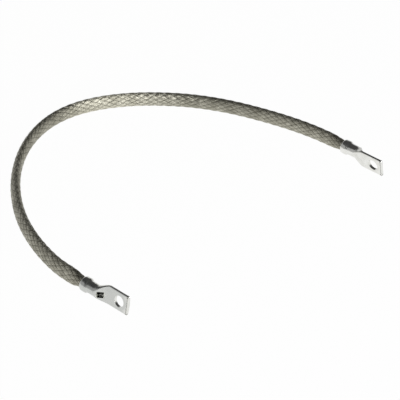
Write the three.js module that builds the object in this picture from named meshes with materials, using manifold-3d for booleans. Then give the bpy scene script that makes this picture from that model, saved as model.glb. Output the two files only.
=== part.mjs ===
// A flexible busbar braid: a flattened round plait of tinned copper wire with a tubular terminal
// crimped on each end, lying on its edge in a wide U. Millimetres, +Z up. Both terminals point
// along +X, +Y runs from the near terminal to the far one, and the floor is Z = 0.
import * as THREE from "three";
import { mergeVertices } from "three/addons/utils/BufferGeometryUtils.js";
import Module from "manifold-3d";

const wasm = await Module();
wasm.setup();

// Terminal: a tinned copper tube, pressed down round the braid and flattened to a drilled palm
const tubeDiameter = 10.8;
const tubeWall = 1.1;
const socketLength = 3.9;
const neckLength = 2.6;
const crimpLength = 5.6;
const crimpDiameter = 8.9;
const rampLength = 9.4;
const palmLength = 17.7;
const palmWidth = 14.2;
const boltHoleDiameter = 8.4;
const boltHoleFromEnd = 8.2;
const endBow = 0.6;
const cornerCut = 0.7;
const sightHoleLength = 5;
const sightHoleWidth = 4.5;
const sightHoleFromPalm = 4.3;
const sightHoleOffset = 0.8;
const rimRounding = 0.35;

// Braid: wire bundles plaited one over, one under, round an oval section
const braidWidth = 12.1;
const braidThickness = 6.6;
const bundlesEachWay = 8;
const floatLength = 7.1;
const floatRelief = 0.56;
const fitClearance = 0.3;
const insertion = 10;
const shoulderLength = 9;

// Pose: everything leans over towards the inside of the U
const leanDegrees = 10;
const nearTerminal = { x: -35.7, y: -123.35, headingDegrees: -3.55, inwards: 1 };
const farTerminal = { x: -2.9, y: 123.65, headingDegrees: -3.05, inwards: -1 };

// Braid route between the terminals: plan position, and how far it has risen from lying on the
// floor (0) to the height of the terminals' sockets (1)
const route = [
  [-63, -120.4, 0.6],
  [-81.2, -115, 0.15],
  [-98.4, -108.2, 0],
  [-114.2, -100.2, 0],
  [-129, -90.7, 0],
  [-143.1, -79.5, 0],
  [-156.2, -67, 0],
  [-168.1, -53, 0],
  [-178.4, -37.8, 0],
  [-186.6, -21.5, 0],
  [-192.1, -4.5, 0],
  [-194.2, 12.7, 0],
  [-192.3, 29.6, 0],
  [-186.3, 45.8, 0],
  [-176.9, 60.8, 0],
  [-165, 74.5, 0],
  [-151.2, 86.5, 0],
  [-136.3, 96.9, 0],
  [-120.6, 105.3, 0],
  [-104.4, 111.9, 0],
  [-87.8, 116.9, 0],
  [-70.4, 120.8, 0.1],
  [-52.1, 123.4, 0.4],
  [-33.5, 124.5, 0.8],
];
const straightOut = 12;

// Fineness of the curved surfaces
const ringPoints = 40;
const circleSegments = 32;

const lean = THREE.MathUtils.degToRad(leanDegrees);
const palmThickness = 2 * tubeWall;
const crimpRadius = crimpDiameter / 2;
const tubeRadius = tubeDiameter / 2;
const neckEnd = socketLength + neckLength;
const crimpEnd = neckEnd + crimpLength;
const palmStart = crimpEnd + rampLength;
const terminalLength = palmStart + palmLength;
const boreRadius = crimpRadius - tubeWall;
// The palm's lower inner edge stands on the floor, and this holds the socket's axis above it.
const socketHeight = (palmWidth / 2) * Math.cos(lean) + crimpRadius * Math.sin(lean);
// The oval's lowest point touches the floor, with the floats' relief outside it.
const braidHeight = Math.hypot(
  (braidWidth / 2) * Math.cos(lean),
  (braidThickness / 2) * Math.sin(lean),
);

const tinnedLug = new THREE.MeshStandardMaterial({
  color: 0xc9c9c4,
  roughness: 0.3,
  metalness: 1,
});
const tinnedWire = new THREE.MeshStandardMaterial({
  color: 0xa8a694,
  roughness: 0.45,
  metalness: 1,
});

// A closed body through rings with equally many points, capped by a fan at each end. Every
// other square is split the other way, so that a raised point stands up as a four-sided lozenge.
function loft(rings) {
  const count = rings[0].length;
  const points = rings.flat();
  const faces = [];
  for (let i = 0; i + 1 < rings.length; i++) {
    for (let j = 0; j < count; j++) {
      const next = (j + 1) % count;
      const a = i * count + j;
      const b = i * count + next;
      const c = a + count;
      const d = b + count;
      if ((i + j) % 2) faces.push(a, b, d, a, d, c);
      else faces.push(a, b, c, b, d, c);
    }
  }
  for (const [ring, first, last] of [
    [rings[0], 0, false],
    [rings.at(-1), (rings.length - 1) * count, true],
  ]) {
    const middle = points.length;
    const centre = ring.reduce((sum, p) => sum.add(p), new THREE.Vector3());
    points.push(centre.divideScalar(count));
    for (let j = 0; j < count; j++) {
      const here = first + j;
      const next = first + ((j + 1) % count);
      if (last) faces.push(middle, here, next);
      else faces.push(middle, next, here);
    }
  }
  return new THREE.BufferGeometry().setFromPoints(points).setIndex(faces);
}

function solidOf(geometry) {
  const bare = geometry.clone();
  bare.deleteAttribute("normal");
  bare.deleteAttribute("uv");
  const merged = mergeVertices(bare, 1e-4);
  const mesh = new wasm.Mesh({
    numProp: 3,
    vertProperties: new Float32Array(merged.attributes.position.array),
    triVerts: new Uint32Array(merged.index.array),
  });
  return new wasm.Manifold(mesh);
}

function geometryOf(solid) {
  const { vertProperties, triVerts } = solid.getMesh();
  const geometry = new THREE.BufferGeometry();
  geometry.setAttribute("position", new THREE.BufferAttribute(vertProperties, 3));
  geometry.setIndex(new THREE.BufferAttribute(triVerts, 1));
  geometry.computeVertexNormals();
  return geometry;
}

// A value that eases from one size to another between two places along the terminal.
function ease(x, from, to, before, after) {
  return THREE.MathUtils.lerp(before, after, THREE.MathUtils.smoothstep(x, from, to));
}

// The terminal's own frame: X from the socket's mouth to the palm's end along the socket's axis,
// Y towards the side that the palm runs flush with, Z across the palm's width.
function outsideRing(x) {
  const round = ease(x, socketLength, neckEnd, tubeRadius, crimpRadius);
  const rim = rimRounding - Math.sqrt(rimRounding ** 2 - Math.max(0, rimRounding - x) ** 2);
  const halfWidth = ease(x, crimpEnd, palmStart, round - rim, palmWidth / 2);
  const halfThickness = ease(x, crimpEnd, palmStart, round - rim, palmThickness / 2);
  // A superellipse: a circle round the socket, a bar with small edge radii at the palm
  const squareness = ease(x, crimpEnd, palmStart, 2, 14);
  const flush = ease(x, crimpEnd, palmStart, 0, crimpRadius - palmThickness / 2);
  const ring = [];
  for (let j = 0; j < ringPoints; j++) {
    const turn = (2 * Math.PI * j) / ringPoints;
    const c = Math.cos(turn);
    const s = Math.sin(turn);
    const stretch = (Math.abs(c) ** squareness + Math.abs(s) ** squareness) ** (-1 / squareness);
    ring.push(
      new THREE.Vector3(x, flush + halfThickness * stretch * c, halfWidth * stretch * s),
    );
  }
  return ring;
}

function socketBore() {
  const flare = tubeRadius - tubeWall;
  const tip = crimpEnd + boreRadius * 0.6;
  const profile = [
    new THREE.Vector2(0, -1),
    new THREE.Vector2(flare, -1),
    new THREE.Vector2(flare, socketLength * 0.7),
    new THREE.Vector2(boreRadius, neckEnd),
    new THREE.Vector2(boreRadius, crimpEnd),
    new THREE.Vector2(boreRadius * 0.45, tip),
    new THREE.Vector2(0, tip),
  ];
  return new THREE.LatheGeometry(profile, circleSegments).rotateZ(-Math.PI / 2);
}

// The palm's outline, bowed at the end with its corners cut, as a plate to trim the terminal by.
function trimOutline() {
  const half = palmWidth / 2;
  const back = tubeRadius + 1;
  const corner = terminalLength - endBow;
  const outline = new THREE.Shape();
  outline.moveTo(-1, -back);
  outline.lineTo(palmStart - 1, -back);
  outline.lineTo(palmStart - 1, -half - 1);
  outline.lineTo(corner - cornerCut, -half - 1);
  outline.lineTo(corner - cornerCut, -half);
  outline.lineTo(corner, -half + cornerCut);
  outline.quadraticCurveTo(terminalLength + endBow, 0, corner, half - cornerCut);
  outline.lineTo(corner - cornerCut, half);
  outline.lineTo(corner - cornerCut, half + 1);
  outline.lineTo(palmStart - 1, half + 1);
  outline.lineTo(palmStart - 1, back);
  outline.lineTo(-1, back);
  outline.closePath();
  const depth = 4 * tubeRadius;
  const plate = new THREE.ExtrudeGeometry(outline, { depth, bevelEnabled: false, curveSegments: 8 });
  return plate.rotateX(Math.PI / 2).translate(0, depth / 2, 0);
}

function terminalGeometry() {
  const stations = [0, rimRounding / 2, rimRounding, socketLength / 2];
  for (const [from, to, steps] of [
    [socketLength, neckEnd, 4],
    [crimpEnd, palmStart, 9],
    [palmStart, terminalLength, 1],
  ]) {
    for (let k = 0; k <= steps; k++) stations.push(from + ((to - from) * k) / steps);
  }
  const places = [...new Set(stations)].sort((a, b) => a - b);
  const boltHole = new THREE.CylinderGeometry(
    boltHoleDiameter / 2,
    boltHoleDiameter / 2,
    4 * tubeRadius,
    circleSegments,
  ).translate(terminalLength - boltHoleFromEnd, 0, 0);
  const sightHoleDepth = tubeDiameter;
  const sightHole = new THREE.BoxGeometry(sightHoleLength, sightHoleDepth, sightHoleWidth);
  sightHole.translate(palmStart - sightHoleFromPalm, -sightHoleDepth / 2 + 1, -sightHoleOffset);
  const terminal = solidOf(loft(places.map(outsideRing)))
    .intersect(solidOf(trimOutline()))
    .subtract(solidOf(socketBore()))
    .subtract(solidOf(boltHole))
    .subtract(solidOf(sightHole));
  return geometryOf(terminal);
}

// A terminal stands on its palm's edge. The far one is turned over, so that its flush side also
// faces the inside of the U.
function terminalMesh(name, { x, y, headingDegrees, inwards }) {
  const geometry = terminalGeometry();
  if (inwards < 0) geometry.rotateX(Math.PI);
  const mesh = new THREE.Mesh(geometry, tinnedLug);
  mesh.name = name;
  mesh.rotation.set(-inwards * lean, 0, THREE.MathUtils.degToRad(headingDegrees), "ZXY");
  mesh.position.set(x, y, socketHeight);
  return mesh;
}

function socketPoint({ x, y, headingDegrees }, outwards) {
  const heading = THREE.MathUtils.degToRad(headingDegrees);
  return new THREE.Vector3(
    x - outwards * Math.cos(heading),
    y - outwards * Math.sin(heading),
    socketHeight,
  );
}

// The braid's size at a distance outside (or, below 0, inside) the nearer socket's mouth: the
// crimped end, the gathered neck in the mouth, then the full oval.
function braidSize(outside, full, end) {
  const mouth = Math.min(full, tubeDiameter - 2 * tubeWall - 2 * fitClearance - floatRelief);
  const neck = ease(outside, -neckEnd, 0, end, mouth);
  return ease(outside, 0, shoulderLength, neck, full);
}

function braidMesh() {
  const points = [
    ...[-insertion, 0, straightOut].map((d) => socketPoint(nearTerminal, d)),
    ...route.map(([x, y, lift]) => {
      const z = THREE.MathUtils.lerp(braidHeight + floatRelief / 2, socketHeight, lift);
      return new THREE.Vector3(x, y, z);
    }),
    ...[straightOut, 0, -insertion].map((d) => socketPoint(farTerminal, d)),
  ];
  const line = new THREE.CatmullRomCurve3(points, false, "centripetal");
  line.arcLengthDivisions = 40 * points.length;
  const length = line.getLength();
  const steps = 2 * Math.round(length / floatLength);
  const rows = 2 * bundlesEachWay;
  const oval = new THREE.EllipseCurve(0, 0, 0.5, 0.5 * (braidWidth / braidThickness));
  const places = oval.getSpacedPoints(rows).slice(0, rows);
  const crimped = 2 * (boreRadius - fitClearance);
  const up = new THREE.Vector3(0, 0, 1);
  const rings = [];
  for (let i = 0; i <= steps; i++) {
    const at = line.getPointAt(i / steps);
    const along = line.getTangentAt(i / steps);
    const outside = Math.min(i, steps - i) * (length / steps) - insertion;
    // The route runs clockwise round the U, so the outside of the U is on its left.
    const outer = new THREE.Vector3().crossVectors(up, along).normalize();
    const rise = new THREE.Vector3().crossVectors(along, outer);
    const leant = rise.clone().multiplyScalar(Math.cos(lean)).addScaledVector(outer, -Math.sin(lean));
    const side = outer.multiplyScalar(Math.cos(lean)).addScaledVector(rise, Math.sin(lean));
    const relief = ease(outside, -neckEnd, shoulderLength, 0, floatRelief);
    const width = braidSize(outside, braidWidth, crimped - relief);
    const thickness = braidSize(outside, braidThickness, crimped - relief);
    rings.push(
      places.map((place, j) => {
        const raised = (i + j) % 2 ? -relief / 2 : relief / 2;
        const across = place.x * thickness + raised * Math.sign(place.x) * Math.abs(place.x * 2);
        const high = place.y / (oval.yRadius * 2);
        const upwards = high * width + raised * 2 * high;
        return at.clone().addScaledVector(side, across).addScaledVector(leant, upwards);
      }),
    );
  }
  const mesh = new THREE.Mesh(loft(rings), tinnedWire);
  mesh.geometry.computeVertexNormals();
  mesh.name = "braid";
  return mesh;
}

const busbarBraid = new THREE.Group();
busbarBraid.add(
  terminalMesh("terminal_near", nearTerminal),
  terminalMesh("terminal_far", farTerminal),
  braidMesh(),
);

export default busbarBraid;
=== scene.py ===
"""A flexible busbar braid lying on its edge on a white table: a flattened plait of tinned copper
wire with a tubular terminal crimped on each end. Metres, +Z up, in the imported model's frame."""

import math

import bmesh
import bpy
import numpy as np
from mathutils import Matrix, Vector
from mathutils.geometry import interpolate_bezier


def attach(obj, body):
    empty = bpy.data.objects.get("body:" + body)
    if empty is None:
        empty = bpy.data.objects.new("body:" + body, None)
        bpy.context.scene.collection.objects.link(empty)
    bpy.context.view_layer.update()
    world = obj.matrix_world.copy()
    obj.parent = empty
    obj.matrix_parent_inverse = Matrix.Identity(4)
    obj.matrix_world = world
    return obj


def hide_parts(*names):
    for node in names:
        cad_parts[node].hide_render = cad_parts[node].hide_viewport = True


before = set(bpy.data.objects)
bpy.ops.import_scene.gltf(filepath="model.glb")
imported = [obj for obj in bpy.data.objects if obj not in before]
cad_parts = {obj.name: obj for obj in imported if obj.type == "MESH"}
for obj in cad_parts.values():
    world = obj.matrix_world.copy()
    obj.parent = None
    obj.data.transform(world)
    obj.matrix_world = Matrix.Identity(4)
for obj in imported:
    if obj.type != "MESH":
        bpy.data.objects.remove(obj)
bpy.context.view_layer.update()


# Camera: a long lens looking down on the strap from beyond its near terminal, at 35 degrees.
camera_azimuth = math.radians(40.27)
camera_elevation = math.radians(35)
camera_distance = 1.4387
middle_of_view = Vector((-0.046394, 0.009655, 0))

towards_camera = Vector(
    (
        math.sin(camera_azimuth) * math.cos(camera_elevation),
        -math.cos(camera_azimuth) * math.cos(camera_elevation),
        math.sin(camera_elevation),
    )
)
camera = bpy.data.objects.new("camera", bpy.data.cameras.new("camera"))
camera.data.lens = 180
camera.data.sensor_width = 36
camera.data.clip_end = 20
camera.location = middle_of_view + towards_camera * camera_distance
camera.rotation_euler = towards_camera.to_track_quat("Z", "Y").to_euler()
bpy.context.scene.collection.objects.link(camera)
bpy.context.scene.camera = camera


# Braid: sixteen flat bundles of fine tinned copper wire, eight laid each way, plaited one over
# and one under into a tube, which is pressed to an oval and bent in a U on its edge. Each end is
# gathered into a terminal's socket and crimped there.
socket_height = 0.007765
near_mouth = Vector((-0.0357, -0.12335, socket_height))
near_heading = math.radians(-3.55)
far_mouth = Vector((-0.0029, 0.12365, socket_height))
far_heading = math.radians(-3.05)
lean = math.radians(10)
inside_socket = 0.010
straight_out = 0.012
bend = (
    (-0.0630, -0.1204, 0.007165),
    (-0.0812, -0.1150, 0.006491),
    (-0.0984, -0.1082, 0.006266),
    (-0.1142, -0.1002, 0.006266),
    (-0.1290, -0.0907, 0.006266),
    (-0.1431, -0.0795, 0.006266),
    (-0.1562, -0.0670, 0.006266),
    (-0.1681, -0.0530, 0.006266),
    (-0.1784, -0.0378, 0.006266),
    (-0.1866, -0.0215, 0.006266),
    (-0.1921, -0.0045, 0.006266),
    (-0.1942, 0.0127, 0.006266),
    (-0.1923, 0.0296, 0.006266),
    (-0.1863, 0.0458, 0.006266),
    (-0.1769, 0.0608, 0.006266),
    (-0.1650, 0.0745, 0.006266),
    (-0.1512, 0.0865, 0.006266),
    (-0.1363, 0.0969, 0.006266),
    (-0.1206, 0.1053, 0.006266),
    (-0.1044, 0.1119, 0.006266),
    (-0.0878, 0.1169, 0.006266),
    (-0.0704, 0.1208, 0.006416),
    (-0.0521, 0.1234, 0.006866),
    (-0.0335, 0.1245, 0.007465),
)
braid_width = 0.01266
braid_thickness = 0.00716
gathered_in_mouth = 0.0080
gathered_in_crimp = 0.0061
neck_end = 0.0065
shoulder_length = 0.012
bundles_each_way = 8
float_length = 0.0071
bundle_fill = 0.99
bundle_thickness = 0.00036
slow_wander = 0.06
quick_wander = 0.04
top_columns = 8
bottom_columns = 4
steps_per_crossing = 6
steps_per_span = 48


def smooth_line(points, per_span):
    """A centripetal spline through the points, as one list."""
    before = 2 * points[0] - points[1]
    after = 2 * points[-1] - points[-2]
    run = [before, *points, after]
    line = []
    for a, b, c, d in zip(run, run[1:], run[2:], run[3:]):
        ab = math.sqrt((b - a).length)
        bc = math.sqrt((c - b).length)
        cd = math.sqrt((d - c).length)
        leave = ((b - a) / ab - (c - a) / (ab + bc) + (c - b) / bc) * bc
        arrive = ((c - b) / bc - (d - b) / (bc + cd) + (d - c) / cd) * bc
        line += interpolate_bezier(b, b + leave / 3, c - arrive / 3, c, per_span)[:-1]
    return line + [points[-1]]


def ease(x, start, stop, before, after):
    """A smooth passage from one size to another between two places."""
    part = np.clip((x - start) / (stop - start), 0, 1)
    return before + (after - before) * part * part * (3 - 2 * part)


def on_socket_line(mouth, heading, outwards):
    """A point on a socket's own line, the given distance outside its mouth."""
    return mouth - Vector((math.cos(heading), math.sin(heading), 0)) * outwards


braid_route = [on_socket_line(near_mouth, near_heading, d) for d in (-inside_socket, 0, straight_out)]
braid_route += [Vector(point) for point in bend]
braid_route += [on_socket_line(far_mouth, far_heading, d) for d in (straight_out, 0, -inside_socket)]
centreline = np.array([tuple(p) for p in smooth_line(braid_route, steps_per_span)])
gaps = np.linalg.norm(np.diff(centreline, axis=0), axis=1)
distances = np.concatenate([[0], np.cumsum(gaps)])
braid_length = float(distances[-1])
directions = np.gradient(centreline, distances, axis=0)
crossings_along = 2 * round(braid_length / float_length)
crossing_pitch = braid_length / crossings_along
rows_round = 2 * bundles_each_way

# The share of the way round the oval section that each angle has reached.
round_angles = np.linspace(0, 2 * math.pi, 721)
oval = np.stack([np.cos(round_angles) * braid_thickness, np.sin(round_angles) * braid_width], 1)
oval_run = np.concatenate([[0], np.cumsum(np.linalg.norm(np.diff(oval, axis=0), axis=1))])
oval_run /= oval_run[-1]


def on_plait(distance, row, height):
    """Points at a distance along the braid, in a row round it, and at a height above or below
    the middle surface between the bundles that cross."""
    at = np.stack([np.interp(distance, distances, centreline[:, k]) for k in range(3)], 1)
    along = np.stack([np.interp(distance, distances, directions[:, k]) for k in range(3)], 1)
    along /= np.linalg.norm(along, axis=1)[:, None]
    outer = np.cross((0, 0, 1), along)
    outer /= np.linalg.norm(outer, axis=1)[:, None]
    rise = np.cross(along, outer)
    leant = rise * math.cos(lean) - outer * math.sin(lean)
    side = outer * math.cos(lean) + rise * math.sin(lean)
    outside = np.minimum(distance, braid_length - distance) - inside_socket
    gathered = ease(outside, -neck_end, 0, gathered_in_crimp, gathered_in_mouth)
    narrow = ease(outside, 0, shoulder_length, gathered, braid_thickness) / 2 - bundle_thickness
    wide = ease(outside, 0, shoulder_length, gathered, braid_width) / 2 - bundle_thickness
    turn = np.interp((row / rows_round) % 1, oval_run, round_angles)
    c = np.cos(turn)
    s = np.sin(turn)
    slope = np.hypot(c * wide, s * narrow)
    across = c * narrow + height * c * wide / slope
    upwards = s * wide + height * s * narrow / slope
    return at + side * across[:, None] + leant * upwards[:, None]


def plaited_bundles(name, hand):
    """Eight bundles of one hand as one mesh. With the braid held upright, those of hand +1 climb to
    the right and those of hand -1 to the left. Each bundle starts as a flat grid, whose first
    columns become its top and the others its underside."""
    columns = top_columns + bottom_columns
    bm = bmesh.new()
    bm.loops.layers.uv.new("wires")
    for k in range(bundles_each_way):
        strip = bmesh.ops.create_grid(
            bm,
            x_segments=columns,
            y_segments=steps_per_crossing * crossings_along,
            size=0.5,
            calc_uvs=True,
        )
        bmesh.ops.translate(bm, verts=strip["verts"], vec=(2 * k, 0, 0))
    mesh = bpy.data.meshes.new(name)
    bm.to_mesh(mesh)
    bm.free()
    flat = np.zeros(len(mesh.vertices) * 3)
    mesh.vertices.foreach_get("co", flat)
    flat = flat.reshape(-1, 3)
    bundle = np.round(flat[:, 0] / 2)
    column = np.round((flat[:, 0] - 2 * bundle + 0.5) * columns)
    crossing = (flat[:, 1] + 0.5) * crossings_along
    on_top = column <= top_columns
    across = np.where(on_top, column / top_columns, 1 - (column - top_columns) / bottom_columns)
    across = (2 * across - 1) * bundle_fill
    wander = slow_wander * np.sin(0.31 * crossing + 1.7 * bundle + hand)
    wander += quick_wander * np.sin(1.13 * crossing + 2.9 * bundle)
    row = 2 * bundle + across + wander * (1 - np.abs(across)) + hand * crossing
    weave = np.cos(math.pi / 2 * (row + crossing)) * np.cos(math.pi / 2 * (row - crossing))
    body = np.sqrt(np.clip(1 - np.abs(across / bundle_fill) ** 3, 0, 1))
    height = bundle_thickness / 2 * (hand * weave + np.where(on_top, 1, -1) * body)
    placed = on_plait(crossing * crossing_pitch, row, height)
    mesh.vertices.foreach_set("co", placed.ravel())

    # The UV map's X is 0 to 1 across a bundle's top, 2 more for each bundle, and past rows_round for
    # the left-hand ones. Its Y counts crossings along the braid.
    corners = np.zeros(len(mesh.loops), dtype=np.int32)
    mesh.loops.foreach_get("vertex_index", corners)
    places = np.zeros(len(mesh.loops) * 2)
    mesh.uv_layers["wires"].uv.foreach_get("vector", places)
    places = places.reshape(-1, 2)
    places[:, 0] *= columns / top_columns
    places[:, 0] += 2 * bundle[corners] + rows_round * (hand < 0)
    places[:, 1] *= crossings_along
    mesh.uv_layers["wires"].uv.foreach_set("vector", places.ravel())

    bm = bmesh.new()
    bm.from_mesh(mesh)
    bmesh.ops.remove_doubles(bm, verts=bm.verts, dist=1e-6)
    ends = [e for e in bm.edges if e.is_boundary]
    bmesh.ops.holes_fill(bm, edges=ends)
    bmesh.ops.recalc_face_normals(bm, faces=bm.faces)
    bm.to_mesh(mesh)
    bm.free()
    mesh.shade_smooth()
    piece = bpy.data.objects.new(name, mesh)
    bpy.context.scene.collection.objects.link(piece)
    return piece


def calculate(tree, operation, first, second=None):
    """One step of arithmetic, where each value is a number or another node's output."""
    node = tree.nodes.new("ShaderNodeMath")
    node.operation = operation
    for socket, value in zip(node.inputs, (first, second)):
        if isinstance(value, bpy.types.NodeSocket):
            tree.links.new(value, socket)
        elif value is not None:
            socket.default_value = value
    return node.outputs[0]


def mottle(tree, places, stretch, scale, detail):
    """Soft noise from 0 to 1 at a scale per metre or per UV step, stretched along each axis."""
    mapping = tree.nodes.new("ShaderNodeMapping")
    mapping.inputs["Scale"].default_value = stretch
    tree.links.new(places, mapping.inputs["Vector"])
    noise = tree.nodes.new("ShaderNodeTexNoise")
    noise.inputs["Scale"].default_value = scale
    noise.inputs["Detail"].default_value = detail
    tree.links.new(mapping.outputs["Vector"], noise.inputs["Vector"])
    return noise.outputs["Fac"]


def spread(tree, value, low, high, to_low, to_high):
    """A value's range, moved and widened to another."""
    node = tree.nodes.new("ShaderNodeMapRange")
    tree.links.new(value, node.inputs["Value"])
    limits = {"From Min": low, "From Max": high, "To Min": to_low, "To Max": to_high}
    for name, number in limits.items():
        node.inputs[name].default_value = number
    return node.outputs["Result"]


def tint(tree, share, first, second):
    """A colour between two others, each an RGB colour or another node's output."""
    node = tree.nodes.new("ShaderNodeMix")
    node.data_type = "RGBA"
    tree.links.new(share, node.inputs["Factor"])
    for socket, colour in ((node.inputs["A"], first), (node.inputs["B"], second)):
        if isinstance(colour, bpy.types.NodeSocket):
            tree.links.new(colour, socket)
        else:
            socket.default_value = (*colour, 1)
    return node.outputs["Result"]


def set_bump(tree, height, depth):
    """Relief on a material's surface, as deep as given where the height is 1."""
    bump = tree.nodes.new("ShaderNodeBump")
    bump.inputs["Distance"].default_value = depth
    tree.links.new(height, bump.inputs["Height"])
    tree.links.new(bump.outputs["Normal"], tree.nodes["Principled BSDF"].inputs["Normal"])


wires_across_bundle = 17
bright_wire = (0.73, 0.71, 0.605)
dull_wire = (0.39, 0.375, 0.295)
# The next two colours are painted shade: one for the grooves between wires, one for the edges and dives
# of bundles.
painted_shade_between_wires = (0.20, 0.19, 0.14)
painted_shade_between_bundles = (0.09, 0.085, 0.06)
wire_depth = 0.00002
tarnish_scale = 130
shade_of_edge_from = 0.42
shade_of_dive_from = 0.34
shade_of_dive = 0.6

wire_metal = bpy.data.materials.new("tinned_copper_wire")
wire_metal.use_nodes = True
tree = wire_metal.node_tree
shader = tree.nodes["Principled BSDF"]
shader.inputs["Metallic"].default_value = 1
lay = tree.nodes.new("ShaderNodeUVMap")
lay.uv_map = "wires"
lay_parts = tree.nodes.new("ShaderNodeSeparateXYZ")
tree.links.new(lay.outputs["UV"], lay_parts.inputs["Vector"])

# A bundle is darker along its edges and where it dives under the next one, half a crossing from
# the middle of each float. This is painted shade, standing in for the shadow of the neighbouring
# bundles.
across_bundle = calculate(tree, "FLOORED_MODULO", lay_parts.outputs["X"], 2)
off_middle = calculate(tree, "SUBTRACT", across_bundle, 0.5)
edge_share = calculate(tree, "ABSOLUTE", off_middle)
bundle_edge = spread(tree, edge_share, shade_of_edge_from, 0.5, 0, 1)
climbs_left = calculate(tree, "GREATER_THAN", lay_parts.outputs["X"], rows_round - 0.25)
slant = calculate(tree, "MULTIPLY", calculate(tree, "SUBTRACT", 0.5, climbs_left), 2)
slant = calculate(tree, "MULTIPLY", off_middle, slant)
along_float = calculate(tree, "ADD", calculate(tree, "ADD", lay_parts.outputs["Y"], slant), climbs_left)
off_float = calculate(tree, "PINGPONG", along_float, 1)
dives_under = spread(tree, off_float, shade_of_dive_from, 0.5, 0, shade_of_dive)
shaded = calculate(tree, "MAXIMUM", bundle_edge, dives_under)

# The wires are fine ridges along each bundle, each a little duller or brighter than its neighbours
# and tarnished in soft patches. They shine across their length.
wobble = spread(tree, mottle(tree, lay.outputs["UV"], (6, 0.35, 1), 1, 2), 0, 1, -0.9, 0.9)
wires = calculate(tree, "MULTIPLY", lay_parts.outputs["X"], wires_across_bundle)
wires = calculate(tree, "ADD", wires, wobble)
wave = calculate(tree, "SINE", calculate(tree, "MULTIPLY", wires, 2 * math.pi))
ridge = spread(tree, wave, -1, 1, 0, 1)
each_wire = tree.nodes.new("ShaderNodeTexWhiteNoise")
each_wire.noise_dimensions = "1D"
tree.links.new(calculate(tree, "FLOOR", wires), each_wire.inputs["W"])
place = tree.nodes.new("ShaderNodeTexCoord").outputs["Object"]
tarnish = spread(tree, mottle(tree, place, (1, 1, 1), tarnish_scale, 4), 0.35, 0.68, 0, 1)
dullness = calculate(tree, "MULTIPLY", each_wire.outputs["Value"], 0.25)
dullness = calculate(tree, "ADD", dullness, calculate(tree, "MULTIPLY", tarnish, 0.45))
wire_colour = tint(tree, dullness, bright_wire, dull_wire)
# Painted shade darkens the grooves between the wires.
open_part = spread(tree, ridge, 0, 0.35, 0, 1)
wire_colour = tint(tree, open_part, painted_shade_between_wires, wire_colour)
tree.links.new(tint(tree, shaded, wire_colour, painted_shade_between_bundles), shader.inputs["Base Color"])
tree.links.new(spread(tree, tarnish, 0, 1, 0.38, 0.45), shader.inputs["Roughness"])
shader.inputs["Anisotropic"].default_value = 1
across_wires = tree.nodes.new("ShaderNodeTangent")
across_wires.direction_type = "UV_MAP"
across_wires.uv_map = "wires"
tree.links.new(across_wires.outputs["Tangent"], shader.inputs["Tangent"])
set_bump(tree, ridge, wire_depth)

right_hand_bundles = plaited_bundles("bundles_climbing_right", 1)
left_hand_bundles = plaited_bundles("bundles_climbing_left", -1)
for bundles in (right_hand_bundles, left_hand_bundles):
    bundles.data.materials.append(wire_metal)
    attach(bundles, "root")
    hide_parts("braid")


# Terminals: a length of copper tube with an open socket, necked and crimped round the braid and
# pressed flat to a drilled palm, then tinned. The flat flush side faces the inside of the U.
tube_radius = 0.0054
tube_wall = 0.0011
socket_end = 0.0039
crimp_end = 0.0121
crimp_radius = 0.00445
palm_start = 0.0215
terminal_length = 0.0392
palm_half_width = 0.0071
palm_half_thickness = 0.0011
hole_radius = 0.0042
hole_place = 0.0310
sight_hole_size = (0.0050, 0.0108, 0.0045)
sight_hole_place = (0.0172, -0.0044, -0.0008)
end_bow = 0.0006
corner_cut = 0.0007
lip_length = 0.0015
lip_depth = 0.0007
edge_radius = 0.00010
nose_length = 0.0012
nose_depth = 0.0006
seam_depth = 0.0005
seam_half_width = 0.00006
seam_end_half_width = 0.00003
drill_flare = 0.001
round_section = 2
palm_fold = 3.5
palm_squareness = 14
points_round = 96
crease_angle = math.radians(28)


def terminal_ring(x, inset):
    """One ring of the tube at x, moved in from its outside by inset. The section is round as far as
    the crimp, and flat with folded edges at the palm."""
    rounded = ease(x, socket_end, neck_end, tube_radius, crimp_radius)
    half_width = ease(x, crimp_end, palm_start, rounded, palm_half_width) - inset
    half_thickness = ease(x, crimp_end, palm_start, rounded, palm_half_thickness) - inset
    flush = ease(x, crimp_end, palm_start, 0, crimp_radius - palm_half_thickness)
    squareness = ease(x, crimp_end, palm_start, round_section, palm_squareness)
    fold = ease(x, crimp_end, palm_start, round_section, palm_fold)
    ring = []
    for turn in np.linspace(0, 2 * math.pi, points_round, endpoint=False):
        c = math.cos(turn)
        s = math.sin(turn)
        across = max(half_thickness, seam_end_half_width) * math.copysign(abs(c) ** (2 / fold), c)
        height = half_width * math.copysign(abs(s) ** (2 / squareness), s)
        ring.append(Vector((x, flush + across, height)))
    return ring


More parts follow.
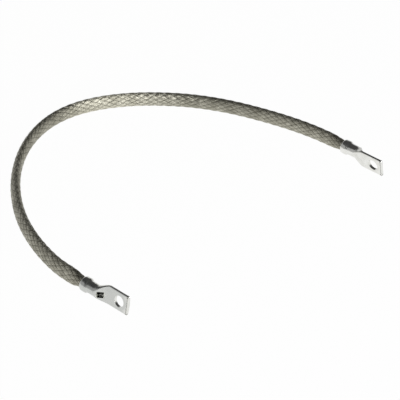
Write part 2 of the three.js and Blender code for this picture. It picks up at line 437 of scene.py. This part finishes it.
def tubular_terminal(name, mouth, heading, inwards):
    """One terminal, drawn out ring by ring from the closed end of its bore, over the socket's lip
    and along the outside to the palm's end, then drilled."""
    stations = [(x, tube_wall) for x in np.linspace(palm_start, crimp_end, 12)]
    stations += [(x, tube_wall) for x in np.linspace(neck_end, lip_length / 3, 10)]
    for turn in np.linspace(0, math.pi / 2, 5)[1:]:
        bore_side = (tube_wall - lip_depth) * math.cos(turn)
        stations.append((lip_length / 3 * (1 - math.sin(turn)), lip_depth + bore_side))
    for turn in np.linspace(0, math.pi / 2, 10)[1:]:
        stations.append((lip_length * (1 - math.cos(turn)), lip_depth * (1 - math.sin(turn))))
    stations += [(x, 0) for x in np.linspace(socket_end * 0.8, neck_end, 10)]
    stations += [(x, 0) for x in np.linspace(crimp_end, palm_start, 26)]
    stations += [(x, 0) for x in np.linspace(palm_start, terminal_length - corner_cut, 5)[1:]]
    shaped_from = len(stations)
    stations += [(terminal_length - nose_length, 0), (terminal_length - edge_radius, 0)]
    stations += [(terminal_length, edge_radius)]
    stations += [(terminal_length, palm_half_thickness - seam_half_width)]
    stations += [(terminal_length - seam_depth, palm_half_thickness - seam_end_half_width)]
    bm = bmesh.new()
    first = bmesh.ops.create_circle(bm, segments=points_round, radius=1)
    verts = first["verts"]
    for vert, spot in zip(verts, terminal_ring(*stations[0])):
        vert.co = spot
    edges = list(bm.edges)
    bmesh.ops.contextual_create(bm, geom=verts)
    for number, (x, inset) in enumerate(stations[1:], 1):
        grown = bmesh.ops.extrude_edge_only(bm, edges=edges)["geom"]
        edges = [g for g in grown if isinstance(g, bmesh.types.BMEdge)]
        fresh = {g for g in grown if isinstance(g, bmesh.types.BMVert)}
        previous = verts
        verts = []
        for old in previous:
            verts.append(next(e.other_vert(old) for e in old.link_edges if e.other_vert(old) in fresh))
        for vert, spot in zip(verts, terminal_ring(x, inset)):
            vert.co = spot
            if number > shaped_from and spot.y < crimp_radius - palm_half_thickness:
                vert.co.y += nose_depth
            if number >= shaped_from:
                height = abs(spot.z)
                vert.co.x -= end_bow * (height / palm_half_width) ** 2
                vert.co.x -= max(0, height - (palm_half_width - corner_cut))
    bmesh.ops.contextual_create(bm, geom=verts)
    bmesh.ops.recalc_face_normals(bm, faces=bm.faces)
    mesh = bpy.data.meshes.new(name)
    bm.to_mesh(mesh)
    bm.free()
    mesh.shade_smooth()
    piece = bpy.data.objects.new(name, mesh)
    bpy.context.scene.collection.objects.link(piece)

    holes_mesh = bpy.data.meshes.new(name + "_holes")
    bm = bmesh.new()
    flush_face = crimp_radius
    outer_face = crimp_radius - 2 * palm_half_thickness
    drill = [
        (hole_radius + drill_flare, outer_face - drill_flare + edge_radius),
        (hole_radius, outer_face + edge_radius),
        (hole_radius, flush_face - edge_radius),
        (hole_radius + drill_flare, flush_face + drill_flare - edge_radius),
    ]
    outline = [bm.verts.new((hole_place + radius, y, 0)) for radius, y in drill]
    profile = [bm.edges.new(pair) for pair in zip(outline, outline[1:])]
    bmesh.ops.spin(
        bm,
        geom=outline + profile,
        cent=(hole_place, 0, 0),
        axis=(0, 1, 0),
        angle=2 * math.pi,
        steps=64,
        use_merge=True,
    )
    bmesh.ops.holes_fill(bm, edges=[e for e in bm.edges if e.is_boundary])
    bmesh.ops.recalc_face_normals(bm, faces=bm.faces)
    sight = bmesh.ops.create_cube(bm, size=1)
    bmesh.ops.scale(bm, verts=sight["verts"], vec=sight_hole_size)
    bmesh.ops.translate(bm, verts=sight["verts"], vec=sight_hole_place)
    bm.to_mesh(holes_mesh)
    bm.free()
    holes = bpy.data.objects.new(name + "_holes", holes_mesh)
    bpy.context.scene.collection.objects.link(holes)
    cut = piece.modifiers.new("holes", "BOOLEAN")
    cut.operation = "DIFFERENCE"
    cut.solver = "EXACT"
    cut.object = holes
    depsgraph = bpy.context.evaluated_depsgraph_get()
    drilled = bpy.data.meshes.new_from_object(piece.evaluated_get(depsgraph))
    piece.modifiers.clear()
    piece.data = drilled
    bpy.data.objects.remove(holes)

    # The side that the die pressed is duller. Its darker colour is partly that duller finish and partly
    # painted shade. The attribute leaves out the nose and the cut edges.
    facing = np.array([vert.normal.y for vert in drilled.vertices])
    corners = np.zeros(len(drilled.loops), dtype=np.int32)
    drilled.loops.foreach_get("vertex_index", corners)
    pressed = np.clip((-facing[corners] - 0.1) / 0.5, 0, 1)
    for face in drilled.polygons:
        if face.center.x > terminal_length - nose_length or abs(face.normal.y) < 0.05:
            pressed[face.loop_indices] = 0
    die_side_and_shade = drilled.attributes.new("die_side_and_shade", "FLOAT", "CORNER")
    die_side_and_shade.data.foreach_set("value", pressed)

    turned_over = Matrix.Rotation(0 if inwards > 0 else math.pi, 4, "X")
    stance = Matrix.Rotation(heading, 4, "Z") @ Matrix.Rotation(-inwards * lean, 4, "X")
    drilled.transform(Matrix.Translation(mouth) @ stance @ turned_over)
    drilled.shade_smooth()
    drilled.set_sharp_from_angle(angle=crease_angle)
    return piece


bright_tin = (0.82, 0.82, 0.79)
smudged_tin = (0.70, 0.70, 0.66)
# The pressed tin is partly a duller die-pressed finish and partly painted shade on that side.
pressed_and_shaded_tin = (0.56, 0.57, 0.55)
smudge_scale = 210
dent_scale = 330
relief_depth = 0.00012

terminal_metal = bpy.data.materials.new("tinned_copper_tube")
terminal_metal.use_nodes = True
tree = terminal_metal.node_tree
shader = tree.nodes["Principled BSDF"]
shader.inputs["Metallic"].default_value = 1
place = tree.nodes.new("ShaderNodeTexCoord").outputs["Object"]
smudges = spread(tree, mottle(tree, place, (1, 1, 1), smudge_scale, 4), 0.35, 0.7, 0, 1)
drawn_lines = mottle(tree, place, (60, 1500, 1500), 1, 3)
dents = mottle(tree, place, (1, 1, 1), dent_scale, 2)
# The die side's darker tin is partly a duller pressed finish and partly painted shade.
pressed = tree.nodes.new("ShaderNodeAttribute")
pressed.attribute_name = "die_side_and_shade"
pressed_and_shaded_share = calculate(tree, "MULTIPLY", pressed.outputs["Fac"], spread(tree, smudges, 0, 1, 1, 0.8))
flush_colour = tint(tree, smudges, bright_tin, smudged_tin)
tree.links.new(tint(tree, pressed_and_shaded_share, flush_colour, pressed_and_shaded_tin), shader.inputs["Base Color"])
smudged_gloss = spread(tree, smudges, 0, 1, 0.14, 0.22)
gloss = calculate(tree, "ADD", smudged_gloss, spread(tree, drawn_lines, 0, 1, -0.03, 0.05))
gloss = calculate(tree, "ADD", gloss, calculate(tree, "MULTIPLY", pressed_and_shaded_share, 0.06))
tree.links.new(gloss, shader.inputs["Roughness"])
relief = calculate(tree, "ADD", calculate(tree, "MULTIPLY", drawn_lines, 0.05), dents)
set_bump(tree, relief, relief_depth)

near_terminal = tubular_terminal("near_tubular_terminal", near_mouth, near_heading, 1)
far_terminal = tubular_terminal("far_tubular_terminal", far_mouth, far_heading, -1)
for piece, node in ((near_terminal, "terminal_near"), (far_terminal, "terminal_far")):
    piece.data.materials.clear()
    piece.data.materials.append(terminal_metal)
    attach(piece, "root")
    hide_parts(node)


# Table, room and lamp: a white table in a dark room with pale walls behind and on the left, and a
# wide soft lamp low on the camera's right.
table_mesh = bpy.data.meshes.new("table")
bm = bmesh.new()
bmesh.ops.create_circle(bm, cap_ends=True, segments=64, radius=4)
bm.to_mesh(table_mesh)
bm.free()
table = bpy.data.objects.new("table", table_mesh)
bpy.context.scene.collection.objects.link(table)

seen_share = 0.98
table_finish = bpy.data.materials.new("white_table")
table_finish.use_nodes = True
tree = table_finish.node_tree
shader = tree.nodes["Principled BSDF"]
shader.inputs["Base Color"].default_value = (0.9, 0.9, 0.9, 1)
shader.inputs["Roughness"].default_value = 0.9
shader.inputs["Specular IOR Level"].default_value = 0
ray = tree.nodes.new("ShaderNodeLightPath")
seen = calculate(tree, "MAXIMUM", ray.outputs["Is Camera Ray"], ray.outputs["Is Glossy Ray"])
seen = calculate(tree, "MAXIMUM", seen, ray.outputs["Is Transmission Ray"])
plain_white = tree.nodes.new("ShaderNodeEmission")
surface = tree.nodes.new("ShaderNodeMixShader")
tree.links.new(calculate(tree, "MULTIPLY", seen, seen_share), surface.inputs["Fac"])
tree.links.new(shader.outputs["BSDF"], surface.inputs[1])
tree.links.new(plain_white.outputs["Emission"], surface.inputs[2])
tree.links.new(surface.outputs["Shader"], tree.nodes["Material Output"].inputs["Surface"])
table_mesh.materials.append(table_finish)

left_wall_direction = (-0.64, -0.77, 0)
left_wall_brightness = 0.45
back_wall_brightness = 0.9
ceiling_brightness = 0.06

world = bpy.data.worlds.new("room")
bpy.context.scene.world = world
world.use_nodes = True
tree = world.node_tree
outlook = tree.nodes.new("ShaderNodeTexCoord").outputs["Generated"]
outlook_parts = tree.nodes.new("ShaderNodeSeparateXYZ")
tree.links.new(outlook, outlook_parts.inputs["Vector"])
to_the_left = tree.nodes.new("ShaderNodeVectorMath")
to_the_left.operation = "DOT_PRODUCT"
to_the_left.inputs[1].default_value = left_wall_direction
tree.links.new(outlook, to_the_left.inputs[0])
left_wall = calculate(
    tree,
    "MULTIPLY",
    spread(tree, to_the_left.outputs["Value"], 0.35, 0.75, 0, 1),
    spread(tree, outlook_parts.outputs["Z"], 0.60, 0.72, left_wall_brightness, 0),
)
back_wall = calculate(
    tree,
    "MULTIPLY",
    spread(tree, outlook_parts.outputs["Y"], -0.1, 0.4, 0, 1),
    spread(tree, outlook_parts.outputs["Z"], 0.12, 0.42, back_wall_brightness, 0),
)
walls = calculate(tree, "MAXIMUM", left_wall, back_wall)
brightness = calculate(tree, "MAXIMUM", walls, ceiling_brightness)
tree.nodes["Background"].inputs["Color"].default_value = (1, 1, 1, 1)
tree.links.new(brightness, tree.nodes["Background"].inputs["Strength"])


def soft_lamp(name, azimuth, elevation, distance, width, height, brightness):
    """A soft box aimed at the middle of the view, with its own face as bright as given."""
    level = math.cos(math.radians(elevation))
    towards = Vector(
        (
            level * math.cos(math.radians(azimuth)),
            level * math.sin(math.radians(azimuth)),
            math.sin(math.radians(elevation)),
        )
    )
    lamp = bpy.data.objects.new(name, bpy.data.lights.new(name, "AREA"))
    lamp.data.shape = "RECTANGLE"
    lamp.data.size = width
    lamp.data.size_y = height
    lamp.data.energy = brightness * math.pi * width * height
    lamp.location = middle_of_view + towards * distance
    lamp.rotation_euler = towards.to_track_quat("Z", "Y").to_euler()
    bpy.context.scene.collection.objects.link(lamp)


soft_lamp("lamp_on_the_right", -18, 22, 1.6, 2.0, 0.8, 5.8)

bpy.context.scene.view_settings.view_transform = "Standard"
